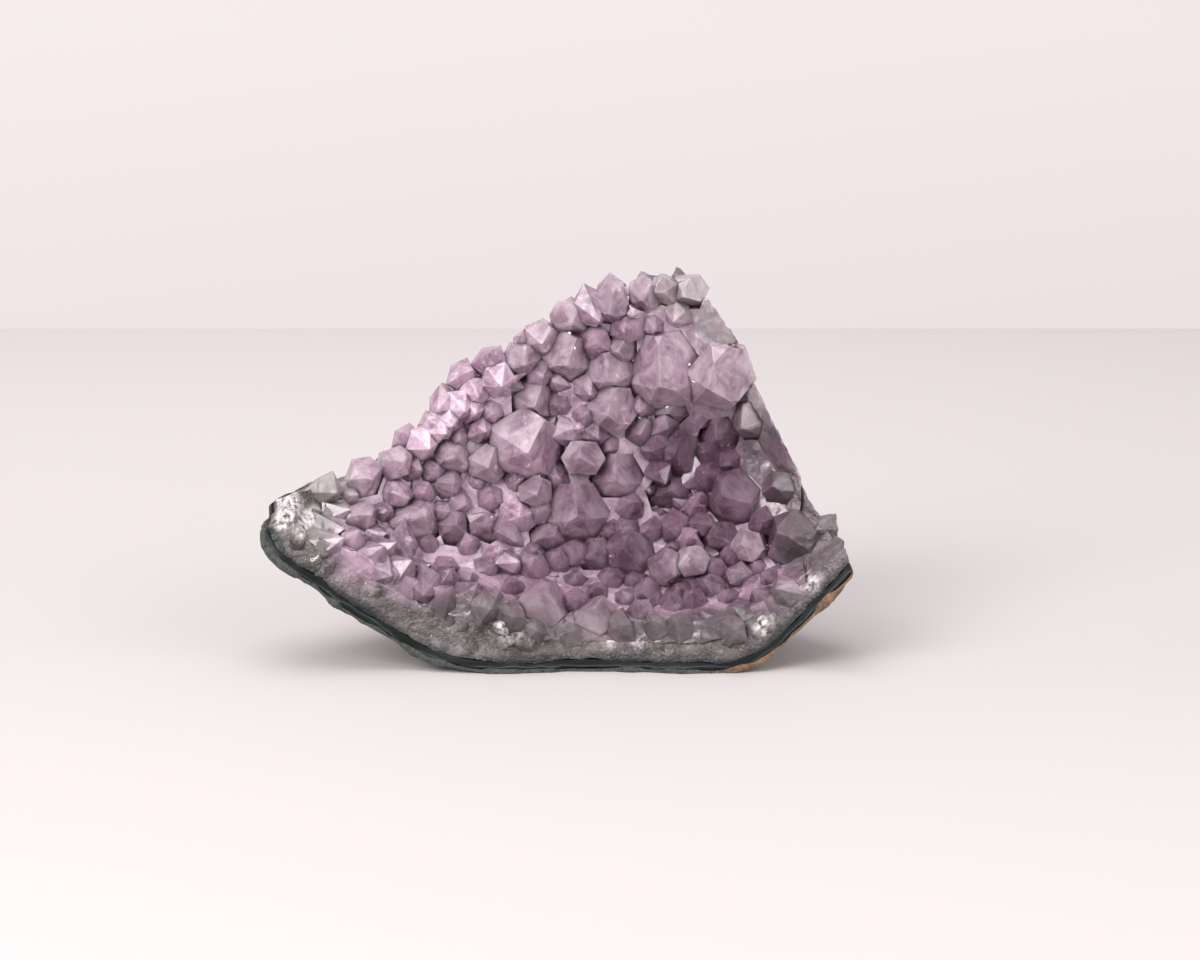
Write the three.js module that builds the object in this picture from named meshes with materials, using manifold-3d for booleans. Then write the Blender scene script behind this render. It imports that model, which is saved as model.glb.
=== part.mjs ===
// Amethyst cluster: a broken piece of geode wall, lined with amethyst crystals.
// Millimetres, +Z up, +X along the length, the crystals face -Y. It stands on its flat underside at Z = 0.
import * as THREE from "three";
import { ConvexGeometry } from "three/addons/geometries/ConvexGeometry.js";
import { mergeVertices } from "three/addons/utils/BufferGeometryUtils.js";
import Module from "manifold-3d";

// ---- driving dimensions of the wall (mm) ----
const LEFT_END = -49.5; // ends of the wall along X, before the whole is centred
const RIGHT_END = 50;
const FRONT_Y = -19; // place of the broken front face
const FRONT_LEAN = 1.5; // how far that face leans back over its height
const FRONT_WAVES = [
  { height: 1.2, rate: 0.19, phase: 0 },
  { height: 0.6, rate: 0.47, phase: 1 },
]; // unevenness of that face along X
const RIDGE_SLOPE = 1.5; // drop of the broken top from the cavity to the back
const CAVITY_SPAN_LEFT = 0.92; // length of the cavity's halves against those of the skin
const CAVITY_SPAN_RIGHT = 0.97;
const TUCK = { depth: 3, from: 18, full: 40, until: 44, top: 0.8 }; // skin behind the right edge
const HEEL = 0.97; // share of the depth that rests flat on the ground
const BULGE = 9; // how far the back swells behind the ridge
const FULL_HEIGHT = 30; // a wall at least this high has that whole swelling
const OFF_GROUND = [0.5, 6]; // the skin grows uneven between these heights
const SKIN_BUMP = 0.7; // unevenness of the outside
const CAVITY_BUMP = 0.8; // unevenness of the lined side
const HOLLOW = { x: 27, z: 33, width: 12, height: 10, depth: 5 }; // deeper pocket on the right

// ---- driving dimensions of the layers and crystals (mm) ----
const GAP = 0.3; // clearance between neighbouring solids
const CRUST = 0.5; // thickness of the brown outer crust
const AGATE = 0.9; // thickness of the dark agate band
const AGATE_TOP = CRUST + GAP + AGATE;
const ROOT_LAYER = 3; // thickness of the crystal roots that line the cavity
const ROOT_THINNING = 8; // length over which that lining thins toward its ends
const LINING_END = 0.4; // share of its thickness that is left there
const LARGE_ROOT = 1.8; // how deep a crystal is rooted along its axis
const SMALL_ROOT = 1;
const HOLLOW_CENTRE = { x: 5, y: -70, z: 28 }; // the crystals grew toward the middle of the geode
const CENTRE_PULL = 1.5; // how much that counts against the lining's own direction
const LARGE_UNEVEN = 0.1; // how far the faces of a large crystal differ from a regular one
const MINOR_FACE = 0.2; // how far out every second face of a point lies, as a share of the radius
const HEAD_SHARE = 0.7; // share of its stand at which a crystal's head is seen
const SMALL_SEED = 7;
const SMALL_SPACING = 6.1;
const SMALL_ACROSS = [5.2, 7.8];
const SMALL_STAND = [2.4, 4.2];
const SMALL_PICKS = 24; // places tried, in seeded order
const SMALL_LEAN_X = [-0.3, 0.3];
const SMALL_LEAN_Z = [-0.2, 0.3];
const LARGE_CLEAR = { share: 0.42, more: 2 }; // they stay this far from a large one, by its width
const SMALL_ALONG = [-40, 41]; // where they may stand, along X
const SMALL_UP = [0.1, 1]; // and up the cavity, from the front rim to the ridge
const BARE_EDGE = { x: 24, up: 0.8 }; // the broken right edge beyond these carries none
const POINT_ANGLE = THREE.MathUtils.degToRad(51.8); // axis to normal of a quartz point face
const ACROSS_TO_RADIUS = 1 / 2.15; // corner-to-corner width to the distance of a prism face

// ---- steps of the surfaces ----
const STATIONS = 18; // sections along X
const DRUSE_FIRST = 3; // the lining leaves the outermost sections bare
const DRUSE_LAST = 15;
const STEPS = 7; // steps along each section, from the front rim to the ridge
const FLAT_SHARE = 0.3; // share of those steps that lies on the flat underside
const NORMAL_REACH = { x: 4, v: 0.08 };
const LEAST_UPRIGHT = 0.45; // keeps a layer from swelling where a rib leans
const SAMPLE_STEP = { x: 0.75, v: 0.02 }; // steps of the search for a crystal's place

// ---- outlines along X, as [x, value] pairs ----
const FRONT_Z = [
  [-49.5, 23.5], [-47.5, 19.5], [-42, 15.5], [-35, 10.5], [-29.5, 7], [-25, 3], [-20, 1], [-15, 0],
  [33, 0], [37, 2.5], [41, 6], [45.5, 11.5], [50, 16.5],
];
const FRONT_WALL = [
  [-49.5, 4.6], [-42, 7], [-36, 9], [-22, 12.5], [-12, 12], [-4, 10], [2, 8.5], [24, 8.5],
  [33, 10], [41, 8.5], [46, 6], [50, 4.4],
];
const RIDGE_Z = [
  [-49.5, 28], [-46, 29.5], [-40, 30], [-36, 31], [-30, 33.5], [-26, 36], [-21, 40.5], [-17, 45],
  [-12, 47.5], [-7, 51.5], [-3, 55.5], [1, 58], [6, 60.5], [13, 63], [22, 64.5], [26, 62.5], [29, 59],
  [32, 54], [36, 45], [39, 38.5], [43, 31.5], [46, 25], [50, 19.5],
];
const RIDGE_Y = [
  [-49.5, -6], [-42, 0], [-30, 8], [-15, 13], [5, 16.5], [22, 17.5], [32, 16], [38, 12], [44, 6], [50, -3],
];
const RIDGE_WALL = [
  [-49.5, 4.6], [-42, 6], [-30, 8], [-15, 8.5], [22, 9.5], [32, 11], [38, 11.5], [44, 10], [50, 6],
];

// ---- colours ----
const CRUST_LOOK = { color: 0x6e4c34, roughness: 0.9 };
const AGATE_LOOK = { color: 0x22302f, roughness: 0.5 };
const QUARTZ_LOOK = { color: 0x807c7a, roughness: 0.6 };
const DRUSE_LOOK = { color: 0x8a6d8a, roughness: 0.35 };
const CRYSTAL_LOOK = { color: 0xa98bb0, roughness: 0.2 };

// ---- large crystals, from the ridge down ----
// x, z: where the head shows from the front; across: width over the corners; stand: height of the
// point over the lining; lean: tilt of the axis toward +X and +Z; turn: radians about the axis.
// Crystals on one line overlap, so they are one solid.
const LARGE = {
  crystal_peak_left: [{ x: 15, z: 62.5, across: 5.5, stand: 4, lean: [0, 0.3] }],
  crystal_peak_middle: [{ x: 19, z: 63, across: 5, stand: 4, lean: [0, 0.5] }],
  crystal_peak_top: [{ x: 23, z: 62.5, across: 6, stand: 3.5, lean: [0, 0.2], turn: 0.4 }],
  crystal_top_glitter: [{ x: 9, z: 60.5, across: 6.5, stand: 5, lean: [-0.1, 0.1], turn: 0.3 }],
  crystal_top_left: [{ x: 1.5, z: 58, across: 6.5, stand: 4, lean: [0, 0.2], turn: 0.5 }],
  crystal_top_low: [{ x: 11, z: 52.5, across: 6.5, stand: 4, lean: [0, 0.2] }],
  crystal_bright_upper: [{ x: 1.5, z: 50.5, across: 9, stand: 6, lean: [-0.1, 0.1], turn: 0.2 }],
  crystal_dim_upper: [{ x: 9, z: 47.5, across: 8.5, stand: 5, turn: 0.6 }],
  crystal_pair_upper_right: [
    { x: 18.5, z: 47.5, across: 13.5, stand: 9, lean: [-0.1, 0.1], turn: 0.5 },
    { x: 27.5, z: 46, across: 11.5, stand: 9, lean: [0.2, 0.2], turn: 0.1 },
  ],
  crystal_ridge_pale: [{ x: -3.5, z: 55, across: 5.5, stand: 4, lean: [-0.1, 0.2] }],
  crystal_ridge_second: [{ x: -7, z: 51, across: 5.5, stand: 4, lean: [-0.1, 0.2], turn: 0.7 }],
  crystal_centre_white_top: [{ x: 9.5, z: 42, across: 8.5, stand: 7, lean: [-0.1, 0.2], turn: 0.3 }],
  crystal_centre_wide: [{ x: -3.5, z: 42, across: 9.5, stand: 4, turn: 0.2 }],
  crystal_main_left: [{ x: -4.5, z: 35, across: 13, stand: 9, lean: [0.05, 0.1], turn: 0.1 }],
  crystal_white_cap: [{ x: 4.5, z: 33.5, across: 6.5, stand: 8, lean: [0, 0.3], turn: 0.5 }],
  crystal_hanging: [{ x: -3, z: 28, across: 5.5, stand: 6, lean: [0, -0.2], turn: 0.2 }],
  crystal_left_of_main: [{ x: -11.5, z: 32.5, across: 6.5, stand: 6, turn: 0.3 }],
  crystal_left_pale: [{ x: -17.5, z: 34, across: 6.5, stand: 5, lean: [-0.1, 0.2], turn: 0.6 }],
  crystal_left_glitter: [{ x: -18.5, z: 29, across: 5, stand: 4 }],
  crystal_left_standing: [{ x: -27, z: 33.5, across: 5.5, stand: 5, lean: [-0.2, 0.5], turn: 0.1 }],
  crystal_left_white_triangle: [{ x: -23, z: 24, across: 9, stand: 6, lean: [-0.1, 0.1], turn: 0.4 }],
  crystal_left_low: [{ x: -17, z: 22.5, across: 6.5, stand: 4, turn: 0.5 }],
  crystal_left_speckled: [{ x: -12, z: 22, across: 5.5, stand: 4, turn: 0.2 }],
  crystal_left_end_high: [{ x: -32, z: 31, across: 6.5, stand: 4, lean: [-0.1, 0.3] }],
  crystal_left_end_low: [{ x: -32, z: 25, across: 6, stand: 4, turn: 0.3 }],
  crystal_hexagon_centre: [{ x: 10.5, z: 29.5, across: 8.5, stand: 5, turn: 0.5 }],
  crystal_speckled_centre: [{ x: 3.5, z: 25, across: 11, stand: 8, lean: [0, -0.1], turn: 0.6 }],
  crystal_pit_rim: [{ x: 15, z: 36.5, across: 5.5, stand: 4 }],
  crystal_below_pair: [{ x: 19.5, z: 40, across: 6, stand: 4, turn: 0.2 }],
  crystal_right_centre: [{ x: 21, z: 34, across: 8, stand: 6, turn: 0.1 }],
  crystal_right_striped: [{ x: 27.5, z: 36, across: 7, stand: 4, turn: 0.4 }],
  crystal_right_upper: [{ x: 32.5, z: 39.5, across: 6.5, stand: 4, turn: 0.2 }],
  crystal_right_round: [{ x: 29.5, z: 27, across: 9.5, stand: 7, turn: 0.5 }],
  crystal_right_flat: [{ x: 19.5, z: 27, across: 8, stand: 3, turn: 0.3 }],
  crystal_right_edge: [{ x: 37.5, z: 29, across: 6, stand: 4 }],
  crystal_right_end: [{ x: 38, z: 21.5, across: 10, stand: 6, lean: [-0.1, -0.1], turn: 0.4 }],
  crystal_right_small_pale: [{ x: 32.5, z: 20, across: 5.5, stand: 6, turn: 0.1 }],
  crystal_low_dark: [{ x: 28, z: 21, across: 6.5, stand: 4, turn: 0.3 }],
  crystal_low_white: [{ x: 23.5, z: 17.5, across: 5.5, stand: 6, lean: [0.2, 0.1], turn: 0.6 }],
  crystal_low_sparkling: [{ x: 18.5, z: 17, across: 6, stand: 6, lean: [-0.1, 0] }],
  crystal_low_centre: [{ x: 12.5, z: 19, across: 8.5, stand: 6, turn: 0.2 }],
  crystal_front_speckled: [{ x: -1, z: 13, across: 8.5, stand: 6, lean: [0, 0.1], turn: 0.4 }],
  crystal_front_bright: [{ x: 6.5, z: 11, across: 7, stand: 5, turn: 0.1 }],
  crystal_front_middle: [{ x: 6.5, z: 18, across: 6, stand: 4, turn: 0.5 }],
  crystal_front_upper: [{ x: -1, z: 20.5, across: 7, stand: 4, turn: 0.3 }],
  crystal_front_right: [{ x: 15, z: 12.5, across: 6.5, stand: 4, turn: 0.2 }],
};

// ---- small crystals that overlap their neighbours: [x, z, across, stand] ----
const SMALL_SHAPE = { root: SMALL_ROOT, uneven: 0, minor: 0 };
const JOINED = [
  [-5.5, 52, 5, 4], [-11, 48.5, 6, 5], [-15, 47, 5.5, 4], [-19, 44.5, 6, 4.5], [-22, 41, 5.5, 4],
  [-14.5, 41.5, 6, 4], [-18, 39.5, 5.5, 4], [-22.5, 35.5, 6, 4], [-25, 20.5, 6, 3], [-9.5, 18.5, 6, 3.5],
  [-6.5, 24, 7, 4], [24, 24.5, 6, 3], [23, 20.5, 5, 4], [13, 58.5, 5, 3.5],
];

// ---- small helpers ----
const { lerp, mapLinear, clamp, smoothstep } = THREE.MathUtils;

function along(points, x) {
  const next = points.findIndex(([at]) => at > x);
  if (next === 0) return points[0][1];
  if (next < 0) return points[points.length - 1][1];
  const [x0, value0] = points[next - 1];
  const [x1, value1] = points[next];
  return mapLinear(x, x0, x1, value0, value1);
}

function ripple(point, wavelength, phase) {
  const k = (2 * Math.PI) / wavelength;
  const a = Math.sin(k * (point.x + 0.6 * point.y) + phase);
  const b = Math.sin(k * 1.3 * (point.z - 0.4 * point.x) + 2.1 * phase);
  const c = Math.sin(k * 1.9 * (point.y + 0.7 * point.z) + 0.7 * phase);
  return (a + b + c) / 3;
}

function seededRandom(seed) {
  let state = seed;
  return () => {
    state = (Math.imul(state, 1664525) + 1013904223) >>> 0;
    return state / 2 ** 32;
  };
}

// ---- the wall: an outer skin, the lined cavity, and ribs from one to the other ----
function stationX(i) {
  const middle = (LEFT_END + RIGHT_END) / 2;
  const half = (RIGHT_END - LEFT_END) / 2;
  return middle - half * Math.cos((Math.PI * i) / STATIONS);
}

function frontY(x) {
  const waves = FRONT_WAVES.map(({ height, rate, phase }) => height * Math.sin(rate * x + phase));
  return waves.reduce((y, wave) => y + wave, FRONT_Y);
}

// Draw of the skin toward -X, behind the upper part of the right edge.
function tuckAt(x, v) {
  const byLength = smoothstep(x, TUCK.from, TUCK.full) * (1 - smoothstep(x, TUCK.until, RIGHT_END));
  return TUCK.depth * byLength * smoothstep(v, FLAT_SHARE, TUCK.top);
}

// The skin lies flat from the front rim to the heel, then swells up the back to the ridge.
function skinPoint(x, v) {
  const skinX = x - tuckAt(x, v);
  const frontZ = along(FRONT_Z, x);
  const ridgeZ = along(RIDGE_Z, x) - RIDGE_SLOPE;
  const ridgeY = along(RIDGE_Y, x);
  const heelY = lerp(FRONT_Y, ridgeY, HEEL);
  if (v <= FLAT_SHARE) return new THREE.Vector3(skinX, lerp(frontY(x), heelY, v / FLAT_SHARE), frontZ);
  const fullness = Math.min(1, (ridgeZ - frontZ) / FULL_HEIGHT);
  const backY = ridgeY + BULGE * fullness;
  const back = new THREE.CubicBezierCurve(
    new THREE.Vector2(heelY, frontZ),
    new THREE.Vector2(backY - 3 * fullness, lerp(frontZ, ridgeZ, 0.02)),
    new THREE.Vector2(backY, lerp(frontZ, ridgeZ, 0.45)),
    new THREE.Vector2(ridgeY, ridgeZ),
  );
  const at = back.getPoint((v - FLAT_SHARE) / (1 - FLAT_SHARE));
  const point = new THREE.Vector3(skinX, at.x, at.y);
  const offGround = smoothstep(at.y, ...OFF_GROUND);
  const bump = SKIN_BUMP * offGround * ripple(point, 19, 1.3);
  return point.add(new THREE.Vector3(0, bump, -0.5 * bump * offGround));
}

// The cavity rises from the top of the front face in one hollow sweep to the ridge.
function cavityPoint(x, v) {
  const frontZ = along(FRONT_Z, x) + along(FRONT_WALL, x);
  const ridgeZ = Math.max(along(RIDGE_Z, x), frontZ + 0.5);
  const ridgeY = along(RIDGE_Y, x) - along(RIDGE_WALL, x);
  const startY = frontY(x) + FRONT_LEAN;
  const rise = ridgeZ - frontZ;
  const sweep = new THREE.CubicBezierCurve(
    new THREE.Vector2(startY, frontZ),
    new THREE.Vector2(lerp(startY, ridgeY, 0.5), frontZ + 0.04 * rise),
    new THREE.Vector2(ridgeY + 0.03 * rise, frontZ + 0.33 * rise),
    new THREE.Vector2(ridgeY, ridgeZ),
  );
  const at = sweep.getPoint(v);
  const span = x < 0 ? CAVITY_SPAN_LEFT : CAVITY_SPAN_RIGHT;
  const point = new THREE.Vector3(x * span, at.x, at.y);
  const acrossHollow = (point.x - HOLLOW.x) / HOLLOW.width;
  const upHollow = (point.z - HOLLOW.z) / HOLLOW.height;
  point.y += HOLLOW.depth * Math.exp(-(acrossHollow ** 2) - upHollow ** 2);
  point.y += CAVITY_BUMP * ripple(point, 21, 0.4);
  return point;
}

// Unit normal of either surface; it points up and to the front. The reach smooths the bumps out.
function surfaceNormal(surface, x, v) {
  const at = (px, pv) => surface(clamp(px, LEFT_END, RIGHT_END), clamp(pv, 0, 1));
  const alongX = at(x + NORMAL_REACH.x, v).sub(at(x - NORMAL_REACH.x, v));
  const alongV = at(x, v + NORMAL_REACH.v).sub(at(x, v - NORMAL_REACH.v));
  return alongX.cross(alongV).normalize();
}

// Share of the rib at (x, v) that a true thickness takes, measured next to the given surface.
function ribShare(surface, x, v, thickness) {
  const rib = cavityPoint(x, v).sub(skinPoint(x, v));
  const length = rib.length();
  const upright = Math.abs(surfaceNormal(surface, x, v).dot(rib.normalize()));
  return thickness / (length * Math.max(LEAST_UPRIGHT, upright));
}

function fromSkin(thickness) {
  return (x, v) => ribShare(skinPoint, x, v, thickness);
}

function fromCavity(thicknessAt) {
  return (x, v) => 1 - ribShare(cavityPoint, x, v, thicknessAt(x));
}

// Zero over the bare ends of the wall.
function liningThickness(x) {
  const fromEnd = Math.min(x - stationX(DRUSE_FIRST), stationX(DRUSE_LAST) - x);
  if (fromEnd < -0.01) return 0;
  return ROOT_LAYER * mapLinear(Math.min(fromEnd, ROOT_THINNING), 0, ROOT_THINNING, LINING_END, 1);
}

function quartzTop(x) {
  const lining = liningThickness(x);
  return lining > 0 ? lining + GAP : 0;
}

// A closed layer of the wall between two surfaces, each given as a share of the rib at (x, v).
function layerMesh(outerShare, innerShare, first = 0, last = STATIONS) {
  const vertices = [];
  const triangles = [];
  const columns = last - first;
  const row = STEPS + 1;
  const sheet = (columns + 1) * row;
  for (const share of [outerShare, innerShare]) {
    for (let i = first; i <= last; i += 1) {
      for (let j = 0; j <= STEPS; j += 1) {
        const x = stationX(i);
        const v = j / STEPS;
        vertices.push(...skinPoint(x, v).lerp(cavityPoint(x, v), share(x, v)).toArray());
      }
    }
  }
  const quad = (a, b, c, d) => triangles.push(a, b, c, a, c, d);
  for (let i = 0; i < columns; i += 1) {
    for (let j = 0; j < STEPS; j += 1) {
      const a = i * row + j;
      quad(a, a + 1, a + row + 1, a + row);
      quad(sheet + a, sheet + a + row, sheet + a + row + 1, sheet + a + 1);
    }
    const front = i * row;
    quad(front, front + row, sheet + front + row, sheet + front);
    const ridge = front + STEPS;
    quad(ridge + row, ridge, sheet + ridge, sheet + ridge + row);
  }
  for (let j = 0; j < STEPS; j += 1) {
    quad(j + 1, j, sheet + j, sheet + j + 1);
    const right = columns * row + j;
    quad(right, right + 1, sheet + right + 1, sheet + right);
  }
  return { vertices, triangles };
}

// ---- solids ----
const wasm = await Module();
wasm.setup();

function solidFromMesh({ vertices, triangles }) {
  const mesh = new wasm.Mesh({
    numProp: 3,
    vertProperties: new Float32Array(vertices),
    triVerts: new Uint32Array(triangles),
  });
  return new wasm.Manifold(mesh);
}

function solidFromGeometry(geometry) {
  geometry.deleteAttribute("normal");
  geometry.deleteAttribute("uv");
  const merged = mergeVertices(geometry, 1e-4);
  return solidFromMesh({ vertices: merged.attributes.position.array, triangles: merged.index.array });
}

function geometryFromSolid(solid) {
  const mesh = solid.getMesh();
  const geometry = new THREE.BufferGeometry();
  geometry.setAttribute("position", new THREE.BufferAttribute(new Float32Array(mesh.vertProperties), 3));
  geometry.setIndex(new THREE.BufferAttribute(new Uint32Array(mesh.triVerts), 1));
  geometry.computeVertexNormals();
  return geometry;
}

function largestPiece(solid) {
  return solid.decompose().reduce((a, b) => (b.volume() > a.volume() ? b : a));
}

// ---- crystals ----
function cavitySamples() {
  const samples = [];
  for (let x = LEFT_END + 1; x < RIGHT_END; x += SAMPLE_STEP.x) {
    for (let v = 0; v <= 1; v += SAMPLE_STEP.v) {
      samples.push({ x, v, at: cavityPoint(x, v) });
    }
  }
  return samples;
}
const SAMPLES = cavitySamples();

// Place of the cavity surface that shows from the front at x and z, with the direction out of it.
function seenPlace(x, z) {
  let best = SAMPLES[0];
  for (const sample of SAMPLES) {
    const nearer = Math.hypot(sample.at.x - x, sample.at.z - z) < Math.hypot(best.at.x - x, best.at.z - z);
    if (nearer) best = sample;
  }
  return { at: best.at.clone(), out: surfaceNormal(cavityPoint, best.x, best.v) };
}

// Faces of a crystal along +Z as planes: six of the prism, six of the point, and the root.
// A socket has no point, so it has one flat end in place of the point's faces.
function crystalPlanes({ across, stand, root, skew, uneven, minor }, grow, socket) {
  const radius = across * ACROSS_TO_RADIUS;
  const planes = [{ normal: new THREE.Vector3(0, 0, -1), distance: root + grow }];
  if (socket) planes.push({ normal: new THREE.Vector3(0, 0, 1), distance: stand });
  for (let face = 0; face < 6; face += 1) {
    const angle = (face * Math.PI) / 3;
    const outward = new THREE.Vector3(Math.cos(angle), Math.sin(angle), 0);
    const side = radius * (1 + uneven * Math.sin(skew + 2.4 * face));
    planes.push({ normal: outward, distance: side + grow });
    if (!socket) {
      const slope = outward.clone().multiplyScalar(Math.sin(POINT_ANGLE)).setZ(Math.cos(POINT_ANGLE));
      const setBack = uneven * (1 + Math.sin(1.7 * skew + 2.1 * face)) - minor * (face % 2);
      planes.push({ normal: slope, distance: stand * Math.cos(POINT_ANGLE) - radius * setBack + grow });
    }
  }
  return planes;
}

function planeCorner(a, b, c) {
  const acrossBC = new THREE.Vector3().crossVectors(b.normal, c.normal);
  const volume = a.normal.dot(acrossBC);
  if (Math.abs(volume) < 1e-5) return null;
  return acrossBC
    .multiplyScalar(a.distance)
    .addScaledVector(new THREE.Vector3().crossVectors(c.normal, a.normal), b.distance)
    .addScaledVector(new THREE.Vector3().crossVectors(a.normal, b.normal), c.distance)
    .divideScalar(volume);
}

function convexSolid(planes, frame) {
  const inside = (point) => planes.every(({ normal, distance }) => normal.dot(point) <= distance + 1e-4);
  const corners = [];
  for (let i = 0; i < planes.length; i += 1) {
    for (let j = i + 1; j < planes.length; j += 1) {
      for (let k = j + 1; k < planes.length; k += 1) {
        const corner = planeCorner(planes[i], planes[j], planes[k]);
        const isNew = corner && inside(corner) && corners.every((other) => other.distanceTo(corner) > 0.02);
        if (isNew) corners.push(corner);
      }
    }
  }
  return solidFromGeometry(new ConvexGeometry(corners.map((corner) => corner.applyMatrix4(frame))));
}

// Turns +Z to the crystal's axis and sets its foot where its head then shows at (x, z).
function crystalFrame({ x, z, stand, lean = [0, 0], turn = 0 }) {
  const centre = new THREE.Vector3(HOLLOW_CENTRE.x, HOLLOW_CENTRE.y, HOLLOW_CENTRE.z);
  let place = seenPlace(x, z);
  let axis = place.out;
  for (let pass = 0; pass < 3; pass += 1) {
    const toCentre = centre.clone().sub(place.at).normalize();
    axis = place.out.clone().addScaledVector(toCentre, CENTRE_PULL);
    axis.add(new THREE.Vector3(lean[0], 0, lean[1])).normalize();
    place = seenPlace(x - HEAD_SHARE * stand * axis.x, z - HEAD_SHARE * stand * axis.z);
  }
  const spin = new THREE.Quaternion().setFromAxisAngle(new THREE.Vector3(0, 0, 1), turn);
  const aim = new THREE.Quaternion().setFromUnitVectors(new THREE.Vector3(0, 0, 1), axis);
  return new THREE.Matrix4().compose(place.at, aim.multiply(spin), new THREE.Vector3(1, 1, 1));
}

function crystalSolid(spec, grow = 0, socket = false) {
  const shape = {
    root: LARGE_ROOT,
    uneven: LARGE_UNEVEN,
    minor: MINOR_FACE,
    skew: 3.1 * spec.x + 1.7 * spec.z,
    ...spec,
  };
  return convexSolid(crystalPlanes(shape, grow, socket), crystalFrame(spec));
}

// Small crystals fill the lining between the large ones, each with its own size, lean and turn.
function smallCrystals() {
  const random = seededRandom(SMALL_SEED);
  const between = ([low, high]) => lerp(low, high, random());
  const clearOf = (across) => LARGE_CLEAR.share * across + LARGE_CLEAR.more;
  const largeOnes = Object.values(LARGE).flat();
  const taken = largeOnes.map(({ x, z, across }) => ({ at: seenPlace(x, z).at, clear: clearOf(across) }));
  const specs = JOINED.map(([x, z, across, stand]) => {
    return { x, z, across, stand, turn: random(), ...SMALL_SHAPE };
  });
  taken.push(...specs.map(({ x, z }) => ({ at: seenPlace(x, z).at, clear: SMALL_SPACING })));
  for (let pick = 0; pick < SMALL_PICKS; pick += 1) {
    const alongX = between(SMALL_ALONG);
    const up = between(SMALL_UP);
    const at = cavityPoint(alongX, up);
    const spec = {
      x: at.x,
      z: at.z,
      across: between(SMALL_ACROSS),
      stand: between(SMALL_STAND),
      lean: [between(SMALL_LEAN_X), between(SMALL_LEAN_Z)],
      turn: between([0, 1]),
      ...SMALL_SHAPE,
    };
    const onBareEdge = alongX > BARE_EDGE.x && up > BARE_EDGE.up;
    if (!onBareEdge && taken.every((other) => other.at.distanceTo(at) > other.clear)) {
      taken.push({ at, clear: SMALL_SPACING });
      specs.push(spec);
    }
  }
  return specs;
}

// ---- the pieces ----
const group = new THREE.Group();

function addPiece(name, solid, look) {
  const mesh = new THREE.Mesh(geometryFromSolid(solid), new THREE.MeshStandardMaterial(look));
  mesh.name = name;
  group.add(mesh);
}

function addWall() {
  const crust = layerMesh(() => 0, fromSkin(CRUST));
  const agate = layerMesh(fromSkin(CRUST + GAP), fromSkin(AGATE_TOP));
  const quartz = layerMesh(fromSkin(AGATE_TOP + GAP), fromCavity(quartzTop));
  addPiece("outer_crust", solidFromMesh(crust), CRUST_LOOK);
  addPiece("agate_band", solidFromMesh(agate), AGATE_LOOK);
  addPiece("quartz_wall", solidFromMesh(quartz), QUARTZ_LOOK);
}

function addCrystals() {
  const liningUnderside = fromCavity(liningThickness);
  const backing = solidFromMesh(layerMesh(() => 0, liningUnderside));
  let druse = solidFromMesh(layerMesh(liningUnderside, () => 1, DRUSE_FIRST, DRUSE_LAST));
  for (const spec of smallCrystals()) {
    druse = druse.add(crystalSolid(spec));
  }
  const placed = [];
  for (const [name, specs] of Object.entries(LARGE)) {
    const joined = (grow, socket) =>
      specs.map((spec) => crystalSolid(spec, grow, socket)).reduce((a, b) => a.add(b));
    const clear = placed.reduce((solid, neighbour) => solid.subtract(neighbour), joined(0));
    addPiece(name, largestPiece(clear.subtract(backing)), CRYSTAL_LOOK);
    placed.push(joined(GAP));
    druse = druse.subtract(joined(GAP, true));
  }
  addPiece("druse", largestPiece(druse.subtract(backing)), DRUSE_LOOK);
}

// Sets the origin under the middle of the whole, on the ground.
function centreOnGround() {
  const box = new THREE.Box3().setFromObject(group);
  const middle = box.getCenter(new THREE.Vector3());
  group.position.set(-middle.x, -middle.y, -box.min.z);
  group.updateMatrixWorld(true);
}

addWall();
addCrystals();
centreOnGround();

export default group;
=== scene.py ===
import math
import random

import bmesh
import bpy
from mathutils import Matrix, Vector, noise
from mathutils.bvhtree import BVHTree


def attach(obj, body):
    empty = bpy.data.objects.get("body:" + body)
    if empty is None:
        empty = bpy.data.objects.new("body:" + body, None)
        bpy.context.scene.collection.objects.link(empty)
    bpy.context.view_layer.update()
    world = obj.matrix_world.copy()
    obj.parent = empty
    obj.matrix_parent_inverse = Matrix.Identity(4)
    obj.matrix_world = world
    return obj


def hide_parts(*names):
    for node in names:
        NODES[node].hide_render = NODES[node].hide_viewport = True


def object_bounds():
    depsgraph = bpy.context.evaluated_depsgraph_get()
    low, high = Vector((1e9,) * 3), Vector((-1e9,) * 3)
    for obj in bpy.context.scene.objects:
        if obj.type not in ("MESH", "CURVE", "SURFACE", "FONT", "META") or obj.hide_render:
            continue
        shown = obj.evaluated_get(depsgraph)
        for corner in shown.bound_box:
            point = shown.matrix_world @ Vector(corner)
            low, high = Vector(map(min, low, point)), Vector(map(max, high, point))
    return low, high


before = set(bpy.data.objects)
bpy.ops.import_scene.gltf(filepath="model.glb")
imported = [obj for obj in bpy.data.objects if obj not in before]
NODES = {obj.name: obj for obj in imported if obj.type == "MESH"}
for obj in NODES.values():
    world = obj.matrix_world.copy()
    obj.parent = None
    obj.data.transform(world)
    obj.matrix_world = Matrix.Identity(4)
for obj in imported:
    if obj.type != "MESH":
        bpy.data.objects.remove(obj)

CAD_LOW, CAD_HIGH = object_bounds()
MM = 0.001
SIZE = CAD_HIGH - CAD_LOW

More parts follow.
